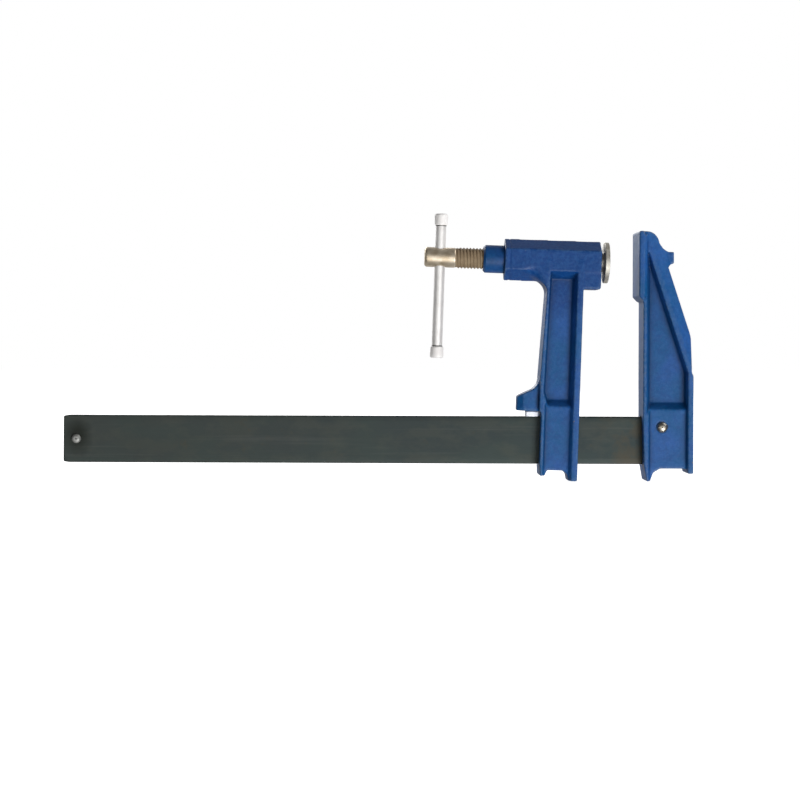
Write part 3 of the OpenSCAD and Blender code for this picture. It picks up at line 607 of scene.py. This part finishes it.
screwPoint = np.array(joints["screw_turn"]["pos_m"])


# Moves every point part of the way to the mean of its neighbours, some number of times.
def relaxed(points, edges, times, pace=0.5, share=1.0):
    first, second = edges[:, 0], edges[:, 1]
    count = np.bincount(first, minlength=len(points)) + np.bincount(second, minlength=len(points))
    count = np.maximum(count, 1)[:, None]
    for _ in range(times):
        mean = np.stack([np.bincount(first, points[second, axis], len(points))
                         + np.bincount(second, points[first, axis], len(points))
                         for axis in range(3)], 1) / count
        points = points + pace * share * (mean - points)
    return points


# Walls that run into each other are blended round a place: points near it are relaxed many times,
# each by a share that falls off from the place as a bell curve.
def blended(points, edges, place):
    distance = np.linalg.norm((points - place) * (1, 1, casting["blendTall"]), axis=1)
    near = np.exp(-(distance / (casting["blendWidth"] * mm)) ** 2)
    inside = near > casting["blendLeast"]
    local = np.cumsum(inside) - 1
    patch = local[edges[inside[edges].all(1)]]
    points[inside] = relaxed(points[inside], patch, casting["blendSteps"], casting["blendPace"],
                             near[inside, None])
    return points


# A slow swell in every direction: sines of three lengths along slanted axes.
def castWaves(points, seed):
    random = np.random.default_rng(seed)
    wave = np.zeros(len(points))
    longest = casting["waveLengths"][0]
    for length in casting["waveLengths"]:
        for _ in range(casting["wavesEach"]):
            direction = unit(random.normal(size=3))
            start = random.uniform(0, 6.3)
            wave += np.sin(points @ direction * 2 * math.pi / length + start) * length / longest
    return wave / casting["waveSum"]


# A groove turned into the barrel near its collar: deepest on its own line, and none at its half width.
def barrelGroove(points):
    along, away = aboutAxis(points, screwPoint, screwAxis)
    barrelEnd = along[away < casting["grooveNear"] * mm].min()
    line = np.abs(along - barrelEnd - casting["grooveIn"] * mm) / (casting["grooveHalf"] * mm)
    return -casting["grooveDepth"] * np.clip(1 - line, 0, 1) * (away < casting["barrelRadius"] * mm)


# The sleeve's inner corners stay off the bar, upright and leaning: a point inside the bar's section,
# once turned by the lean, moves sideways to its nearer face.
def clearOfBar(points):
    low, high = np.array(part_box("bar"))
    room = np.array((0, casting["clear"], casting["clear"])) * mm
    pivot = np.array(joints["jaw_rock"]["pos_m"])
    points = points.copy()
    for lean in joints["jaw_rock"]["range_deg"]:
        turn = math.radians(lean)
        x, z = (points[:, axis] - pivot[axis] for axis in (0, 2))
        leant = np.stack([x * math.cos(turn) + z * math.sin(turn) + pivot[0], points[:, 1],
                          z * math.cos(turn) - x * math.sin(turn) + pivot[2]], 1)
        inside = ((leant > low - room) & (leant < high + room)).all(1)
        points[inside, 1] = np.sign(points[inside, 1]) * (high[1] + room[1])
    return points


# Each point stands off along its normal by the waves, the parting line and the groove. The enamel
# reads how far a point stands out of its relaxed surface, for its worn edges, or in from it, near by
# and more broadly, for painted shade in its creases and corners.
def castPiece(name, node, body, seed, blends=(), groove=None, darkFrom=None, keepOff=None):
    mesh = frame["nodes"][node].data.copy()
    weld(mesh)
    rough = bpy.data.objects.new(name + "_rough", mesh)
    scene.collection.objects.link(rough)
    voxels = rough.modifiers.new("voxels", "REMESH")
    voxels.mode, voxels.voxel_size = "VOXEL", casting["voxel"] * mm
    fine = finishedMesh(rough)
    bpy.data.objects.remove(rough)
    edges = np.empty(len(fine.edges) * 2, np.int32)
    fine.edges.foreach_get("vertices", edges)
    edges = edges.reshape(-1, 2)
    points = relaxed(rowsOf(fine.vertices, "co"), edges, casting["relax"])
    for place in blends:
        points = blended(points, edges, place)
    fine.vertices.foreach_set("co", points.ravel())
    fine.update()
    normals = rowsOf(fine.vertices, "normal")
    # the mould's parting line stands up a little along the middle of the sides
    flash = np.clip(1 - np.abs(points[:, 1]) / (casting["flashHalf"] * mm), 0, 1)
    flash = flash * (1 - np.abs(normals[:, 1]))
    lift = casting["flash"] * flash + casting["wave"] * castWaves(points, seed)
    if groove is not None:
        lift = lift + groove(points)
    # the barrel takes a deeper blue than the arm
    deep = np.zeros(len(points))
    if darkFrom is not None:
        deep = np.clip((points[:, 2] / mm - darkFrom) / casting["barrelFade"], 0, 1)
    # creases and recesses, found by relaxing a little and a lot, are where the enamel gets painted shade
    smooth = relaxed(points, edges, casting["edgeSteps"])
    smoother = relaxed(smooth, edges, casting["cornerShadeSteps"], casting["cornerShadePace"])
    bulge, broad = (np.einsum("ij,ij->i", points - surface, normals) / mm for surface in (smooth, smoother))
    bulge = bulge / casting["edgeHeight"]
    moved = points + normals * lift[:, None] * mm
    if keepOff is not None:
        moved = keepOff(moved)
    fine.vertices.foreach_set("co", moved.ravel())
    # attributes: worn edges, the darker barrel, and painted shade in creases and recess corners
    for attribute, value in {"edge": bulge - casting["edgeLeast"], "deep": deep,
                             "hollow": -bulge - casting["hollowLeast"],
                             "corner": -broad - casting["cornerShadeLeast"]}.items():
        fine.attributes.new(attribute, "FLOAT", "POINT").data.foreach_set(
            "value", np.clip(value, 0, 1).astype(np.float32))
    fine.polygons.foreach_set("use_smooth", np.ones(len(fine.polygons), bool))
    fine.update()
    fine.name = name
    print(name + ":", len(fine.polygons), "faces")
    return fit(bpy.data.objects.new(name, fine), body, [node], castingEnamel)


castPiece("fixed_jaw_casting", "fixed_jaw", "rail", 3)
castPiece("sliding_jaw_casting", "sliding_jaw", "jaw", 8,
          blends=[np.array(casting["blendAt"]) * (1, side, 1) for side in (-1, 1)],
          groove=barrelGroove, darkFrom=casting["barrelFrom"], keepOff=clearOfBar)


# bar: a rolled section with soft edges, the two corners of its free end cut off; the waves are
# turns along x and z, a start, and a share of the unevenness
barShape = {"edge": 0.9, "end": 0.8, "corner": 1.4, "unevenness": 0.05, "stations": 160,
            "waves": ((71, 40, 0.0, 0.5), (183, -90, 1.3, 0.3), (390, 0, 0.4, 0.2)),
            "facesBeyond": 3.0, "edgeLag": 7, "edgeShare": 0.6}


# The faces stand in and out by a sum of sines, and the edges by the same sum a little further on.
def unevenBar(points):
    x, y, z = points[..., 0], points[..., 1], points[..., 2]
    ripple = sum(np.sin(x * overX + z * overZ + start) * share
                 for overX, overZ, start, share in barShape["waves"])
    points = points.copy()
    onFace = np.abs(y) > barShape["facesBeyond"] * mm
    lagging = np.roll(ripple, barShape["edgeLag"], 0) * barShape["edgeShare"]
    points[..., 1] += np.sign(y) * ripple * barShape["unevenness"] * mm * onFace
    points[..., 2] += np.sign(z) * lagging * barShape["unevenness"] * mm
    fromEnd = points[..., 0] - points[..., 0].min()
    limit = z.max() - np.clip(barShape["corner"] * mm - fromEnd, 0, None)
    points[..., 2] = np.clip(points[..., 2], -limit, limit)
    return points


makePiece("steel_bar", [roundedBlock(*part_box("bar"), barShape["edge"] * mm, barShape["end"] * mm,
                                     stations=barShape["stations"], bow=unevenBar)],
          "rail", ["bar"], barSteel)


# rivet: a domed head at each side of the jaw, flattened a little by the hammer
rivetShape = {"dome": 2.6, "domeWidth": 0.94, "lip": 0.3, "lipAlong": 0.1, "waist": 0.5, "around": 64,
              "dents": ((3, 0, 1, 0.02), (7, 2, 3, 0.015))}
rivetMiddle, (rivetRadius, rivetHalf, _) = middleAndHalf("fixed_jaw_rivet")
rivetGrip = rivetHalf - rivetShape["dome"]
turn = np.linspace(0, math.pi / 2, 12)
dome = np.stack([-rivetGrip - rivetShape["dome"] * np.cos(turn),
                 rivetShape["domeWidth"] * rivetRadius * np.sin(turn)], 1)
rivetProfile = np.vstack([dome, [[-rivetGrip + rivetShape["lipAlong"], rivetRadius - rivetShape["lip"]],
                                 [0, rivetRadius - rivetShape["waist"]]]])
rivetProfile = np.vstack([rivetProfile, rivetProfile[::-1][1:] * (-1, 1)])


# The radius swells and shrinks by sines of the angle and the distance along the rivet.
def peened(along, angle, radius):
    return radius * (1 + sum(depth * np.sin(angle * waves + start + along * slant)
                             for waves, start, slant, depth in rivetShape["dents"]))


makePiece("peened_rivet", [turned(rivetProfile, rivetMiddle, (0, 1, 0), rivetShape["around"],
                                  swell=peened)],
          "rail", ["fixed_jaw_rivet"], rivetSteel)

# stop pin: bevelled at both ends
pinShape = {"bevelIn": 1.4, "bevelAlong": 1.2, "rounding": 0.8, "around": 48}
pinMiddle, (pinRadius, pinHalf, _) = middleAndHalf("stop_pin")
bevelEnd, bevelRadius = pinHalf - pinShape["bevelAlong"], pinRadius - pinShape["bevelIn"]
pinProfile = rounded([[-pinHalf, 0], [-pinHalf, bevelRadius], [-bevelEnd, pinRadius], [bevelEnd, pinRadius],
                      [pinHalf, bevelRadius], [pinHalf, 0]], pinShape["rounding"])
makePiece("bevelled_stop_pin", [turned(pinProfile, pinMiddle, (0, 1, 0), pinShape["around"])],
          "rail", ["stop_pin"], stopSteel)
print("bar, rivet and stop pin: made")


# nut: a painted collar and shank, bored for the screw
nutShape = {"bevel": 1.5, "mouth": 0.7, "shank": 10.0, "bore": 7.95, "shankLength": 18.0,
            "roundings": (0.3, 0.3, 0.3, 0.4, 0.2, 0.3, 0.3, 0.3)}
nutStart, nutEnd, nutRadius = reach("spindle_nut", screwPoint, screwAxis)
collarEnd = nutEnd - nutShape["shankLength"]
nutProfile = rounded([
    [nutStart, nutShape["bore"] + nutShape["mouth"]], [nutStart, nutRadius - nutShape["bevel"]],
    [nutStart + nutShape["bevel"], nutRadius], [collarEnd, nutRadius], [collarEnd, nutShape["shank"]],
    [nutEnd, nutShape["shank"]], [nutEnd, nutShape["bore"]],
    [nutStart + nutShape["mouth"], nutShape["bore"]]], nutShape["roundings"], closed=True)
makePiece("nut_collar", [turned(nutProfile, screwPoint, screwAxis, 96, ring=True)],
          "jaw", ["spindle_nut"], collarEnamel)


# screw: a drilled head, a helical thread, a shoulder and a journal with a ring groove
screw = {"headLength": 23.7, "headRadius": 7.6, "bevel": 1.3, "rim": 0.9, "overlap": 0.3,
         "hole": 4.05, "flare": 2.4, "cutterHalf": 9.0,
         "crest": 7.9, "depth": 0.75, "pitch": 2.5, "threadEnd": 69.9, "threadStep": 0.125,
         "fadeIn": 2.2, "fadeOut": 2.5, "shoulder": 6.25, "shoulderEnd": 83.9, "journal": 4.5,
         "grooveFrom": 95.7, "grooveTo": 97.5, "groove": 3.6,
         "toothPlaces": (0, 0.08, 0.24, 0.32, 0.50, 0.58, 0.76, 0.84, 1),
         "toothHeights": (0.94, 1, 1, 0.94, 0.06, 0, 0, 0.06, 0.94)}
screwStart, screwEnd, _ = reach("spindle", screwPoint, screwAxis)
screwOrigin = screwPoint + screwAxis * screwStart * mm
screwLength = screwEnd - screwStart
tommyAxis = unit(joints["tommy_bar_slide"]["axis"])

headProfile = rounded([[0, 0], [0, screw["headRadius"] - screw["bevel"]],
                       [screw["bevel"], screw["headRadius"]],
                       [screw["headLength"] - screw["rim"], screw["headRadius"]],
                       [screw["headLength"], screw["crest"] - screw["depth"]], [screw["headLength"], 0]],
                      [0, 1.0, 1.4, 0.7, 0.3, 0])


# Radius of the thread at a distance along the axis and an angle: the place within one pitch,
# less the share of a turn, runs over crest, flank, root and flank.
def threadRadius(along, angle, radius):
    phase = (along / screw["pitch"] - angle / (2 * math.pi)) % 1
    tooth = np.interp(phase, screw["toothPlaces"], screw["toothHeights"])
    ends = (np.clip((along - screw["headLength"]) / screw["fadeIn"], 0, 1)
            * np.clip((screw["threadEnd"] - along) / screw["fadeOut"], 0, 1))
    return screw["crest"] - screw["depth"] + screw["depth"] * tooth * ends


threadAlong = np.arange(screw["headLength"] - screw["overlap"], screw["threadEnd"], screw["threadStep"])
threadProfile = np.stack([threadAlong, np.full(len(threadAlong), screw["crest"])], 1)
tailStart = screw["threadEnd"] - screw["overlap"]
tailProfile = rounded([[tailStart, 0], [tailStart, screw["shoulder"]],
                       [screw["shoulderEnd"], screw["shoulder"]], [screw["shoulderEnd"], screw["journal"]],
                       [screw["grooveFrom"], screw["journal"]], [screw["grooveFrom"], screw["groove"]],
                       [screw["grooveTo"], screw["groove"]], [screw["grooveTo"], screw["journal"]],
                       [screwLength, screw["journal"]], [screwLength, 0]],
                      [0, 0.4, 0.4, 0.2, 0.15, 0.1, 0.1, 0.15, 0.6, 0])
headPiece = makePiece("screw_head", [turned(headProfile, screwOrigin, screwAxis, 128)],
                      "spindle", ["spindle"], screwSteel)

# the cross hole is drilled with a cutter that flares where it leaves the head
holeMiddle = np.array(screwOrigin) + screwAxis * screw["headLength"] / 2 * mm
cutterHalf, cutterWide = screw["cutterHalf"], screw["hole"] + screw["flare"]
straight = cutterHalf - screw["flare"]
drillVertices, drillQuads, drillTriangles, _ = turned(
    [[-cutterHalf, 0.001], [-cutterHalf, cutterWide], [-straight, screw["hole"]], [straight, screw["hole"]],
     [cutterHalf, cutterWide], [cutterHalf, 0.001]], holeMiddle, tommyAxis, 64)
cutter = bpy.data.meshes.new("drill")
cutter.from_pydata(drillVertices.tolist(), [], drillQuads.tolist() + drillTriangles.tolist())
weld(cutter, outwards=True)
drill = bpy.data.objects.new("drill", cutter)
scene.collection.objects.link(drill)
cut = headPiece.modifiers.new("cross hole", "BOOLEAN")
cut.operation, cut.solver, cut.object = "DIFFERENCE", "EXACT", drill
drilled = finishedMesh(headPiece)
headPiece.modifiers.clear()
headPiece.data = drilled
headPiece.data.materials.clear()
headPiece.data.materials.append(screwSteel.material)
bpy.data.objects.remove(drill)
makePiece("screw_thread", [turned(threadProfile, screwOrigin, screwAxis, 96, swell=threadRadius),
                           turned(tailProfile, screwOrigin, screwAxis, 64)],
          "spindle", ["spindle"], threadSteel)
print("nut and screw: made")


# tommy bar: a rod, a tapered cap swaged on each end, and dark grease in the seam behind each cap
tommyShape = {"edge": 0.3, "around": 64, "capLength": 8.8, "capDepth": 4.9, "tipIn": 1.0, "bevelIn": 0.1,
              "bevelAlong": 0.9, "fullAt": 0.3, "neckAt": 0.92, "neck": 0.85, "lip": 0.35, "fit": 0.03,
              "roundings": (0, 0.7, 0.8, 1.6, 0.5, 0.3, 0.1, 0.1, 0),
              "seam": 0.9, "seamUnder": 0.1, "seamSunk": 0.2, "seamHigh": 0.16, "seamLow": 0.06}
rodFrom, rodTo, rodRadius = reach("tommy_bar", holeMiddle, tommyAxis)
endFrom, endTo, endRadius = reach("tommy_bar_ends", holeMiddle, tommyAxis)
rodProfile = rounded([[rodFrom, 0], [rodFrom, rodRadius], [rodTo, rodRadius], [rodTo, 0]],
                     tommyShape["edge"])
makePiece("tommy_rod", [turned(rodProfile, holeMiddle, tommyAxis, tommyShape["around"])],
          "tommy", ["tommy_bar"], platedSteel)


# A cap's profile runs over its flat tip, along its taper, over its lip and back in along the rod.
def swagedEnd(tip, inward):
    cap, bottom = tommyShape["capLength"], tommyShape["capLength"] - tommyShape["capDepth"]
    bore = rodRadius + tommyShape["fit"]
    profile = rounded([[0, 0], [0, endRadius - tommyShape["tipIn"]],
                       [tommyShape["bevelAlong"], endRadius - tommyShape["bevelIn"]],
                       [cap * tommyShape["fullAt"], endRadius],
                       [cap * tommyShape["neckAt"], rodRadius + tommyShape["neck"]],
                       [cap, rodRadius + tommyShape["lip"]],
                       [cap, bore], [bottom, bore], [bottom, 0]], tommyShape["roundings"])
    return turned(profile * (inward, 1) + (tip, 0), holeMiddle, tommyAxis, tommyShape["around"])


makePiece("swaged_ends", [swagedEnd(endFrom, 1), swagedEnd(endTo, -1)],
          "tommy", ["tommy_bar_ends"], capSteel)


# A low ring round the rod, highest where it meets the cap.
def capSeam(tip, inward):
    start, inside = tommyShape["capLength"] - tommyShape["seamUnder"], rodRadius - tommyShape["seamSunk"]
    end = start + tommyShape["seam"]
    profile = rounded([[start, inside], [start, rodRadius + tommyShape["seamHigh"]],
                       [end, rodRadius + tommyShape["seamLow"]], [end, inside]], 0.05, closed=True)
    return turned(profile * (inward, 1) + (tip, 0), holeMiddle, tommyAxis, tommyShape["around"], ring=True)


makePiece("cap_seams", [capSeam(endFrom, 1), capSeam(endTo, -1)],
          "tommy", ["tommy_bar_ends"], pinSteel)


# plunger: a bored body, a neck and a ball
plungerShape = {"ball": 5.4, "neck": 3.3, "bodyLength": 40.5, "bore": 4.55, "boreDepth": 16.6,
                "roundings": (0, 0.2, 0.4, 0.9, 0.9, 0.6, 0)}
plungerFrom, _, plungerRadius = reach("plunger", screwPoint, screwAxis)
ballAlong = float((np.array(joints["pad_tilt"]["pos_m"]) - screwPoint) @ screwAxis) / mm
neckAngle = math.asin(plungerShape["neck"] / plungerShape["ball"])
bodyEnd, boreEnd = plungerFrom + plungerShape["bodyLength"], plungerFrom + plungerShape["boreDepth"]


# Part of a ball's outline, from an angle round to its front.
def ballProfile(radius, start, steps):
    turn = np.linspace(start, 0, steps)
    return np.stack([ballAlong + radius * np.cos(turn), radius * np.sin(turn)], 1)


plungerProfile = np.vstack([rounded([
    [boreEnd, 0], [boreEnd, plungerShape["bore"]], [plungerFrom, plungerShape["bore"]],
    [plungerFrom, plungerRadius], [bodyEnd, plungerRadius], [bodyEnd, plungerShape["neck"]],
    [ballAlong - plungerShape["ball"] * math.cos(neckAngle), plungerShape["neck"]]],
    plungerShape["roundings"])[:-1], ballProfile(plungerShape["ball"], math.pi - neckAngle, 20)])
makePiece("sliding_plunger", [turned(plungerProfile, screwPoint, screwAxis, 80)],
          "plunger", ["plunger"], plungerSteel)

# swivel pad: a disc on a hub, with a seat for the ball and a groove for its ring
padShape = {"hub": 7.5, "thick": 3.3, "seat": 5.45, "seatAngle": 0.52, "seatFrom": -0.4, "bore": 5.5,
            "slotRadius": 6.6, "slotFrom": -4.6, "slotTo": -2.6,
            "roundings": (0, 0.5, 0.5, 0.9, 1.0, 0.4, 0.1, 0.1, 0.1, 0.1, 0)}
padFrom, padTo, padRadius = reach("pressure_pad", screwPoint, screwAxis)
padBack = padTo - padShape["thick"]
slotFrom, slotTo = ballAlong + padShape["slotFrom"], ballAlong + padShape["slotTo"]
padProfile = np.vstack([rounded([
    [padTo, 0], [padTo, padRadius], [padBack, padRadius], [padBack, padShape["hub"]],
    [padFrom, padShape["hub"]], [padFrom, padShape["bore"]], [slotFrom, padShape["bore"]],
    [slotFrom, padShape["slotRadius"]], [slotTo, padShape["slotRadius"]], [slotTo, padShape["bore"]],
    [ballAlong + padShape["seatFrom"], padShape["bore"]]], padShape["roundings"]),
    ballProfile(padShape["seat"], math.pi * padShape["seatAngle"], 16)])
makePiece("swivel_pad", [turned(padProfile, screwPoint, screwAxis, 112)],
          "pad", ["pressure_pad"], padSteel)

# shoe: a ground block and the peg that the jaw rocks on
shoeShape = {"thick": 4.0, "edge": 0.5, "pegRadius": 2.5, "pegSunk": 0.6, "pegEdge": 0.4}
shoeLow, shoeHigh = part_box("grip_shoe")
shoeTop = shoeLow.z + shoeShape["thick"] * mm
shoeMiddle = np.array(((shoeLow.x + shoeHigh.x) / 2, 0.0, shoeTop))
pegFrom, pegTo = -shoeShape["pegSunk"], (shoeHigh.z - shoeTop) / mm
pegProfile = rounded([[pegFrom, 0], [pegFrom, shoeShape["pegRadius"]], [pegTo, shoeShape["pegRadius"]],
                      [pegTo, 0]], shoeShape["pegEdge"])
makePiece("ground_shoe", [roundedBlock(shoeLow, (shoeHigh.x, shoeHigh.y, shoeTop),
                                       shoeShape["edge"] * mm, shoeShape["edge"] * mm, stations=6),
                          turned(pegProfile, shoeMiddle, (0, 0, 1), 32)],
          "shoe", ["grip_shoe"], shoeSteel)

# the lock screw and the two wire rings keep their own shapes
for node, finish in {"nut_lock_screw": pinSteel, "plunger_ring": springSteel,
                     "pad_ring": springSteel}.items():
    mesh = frame["nodes"][node].data
    mesh.materials.clear()
    mesh.materials.append(finish.material)
print("tommy bar, plunger, pad and shoe: made")
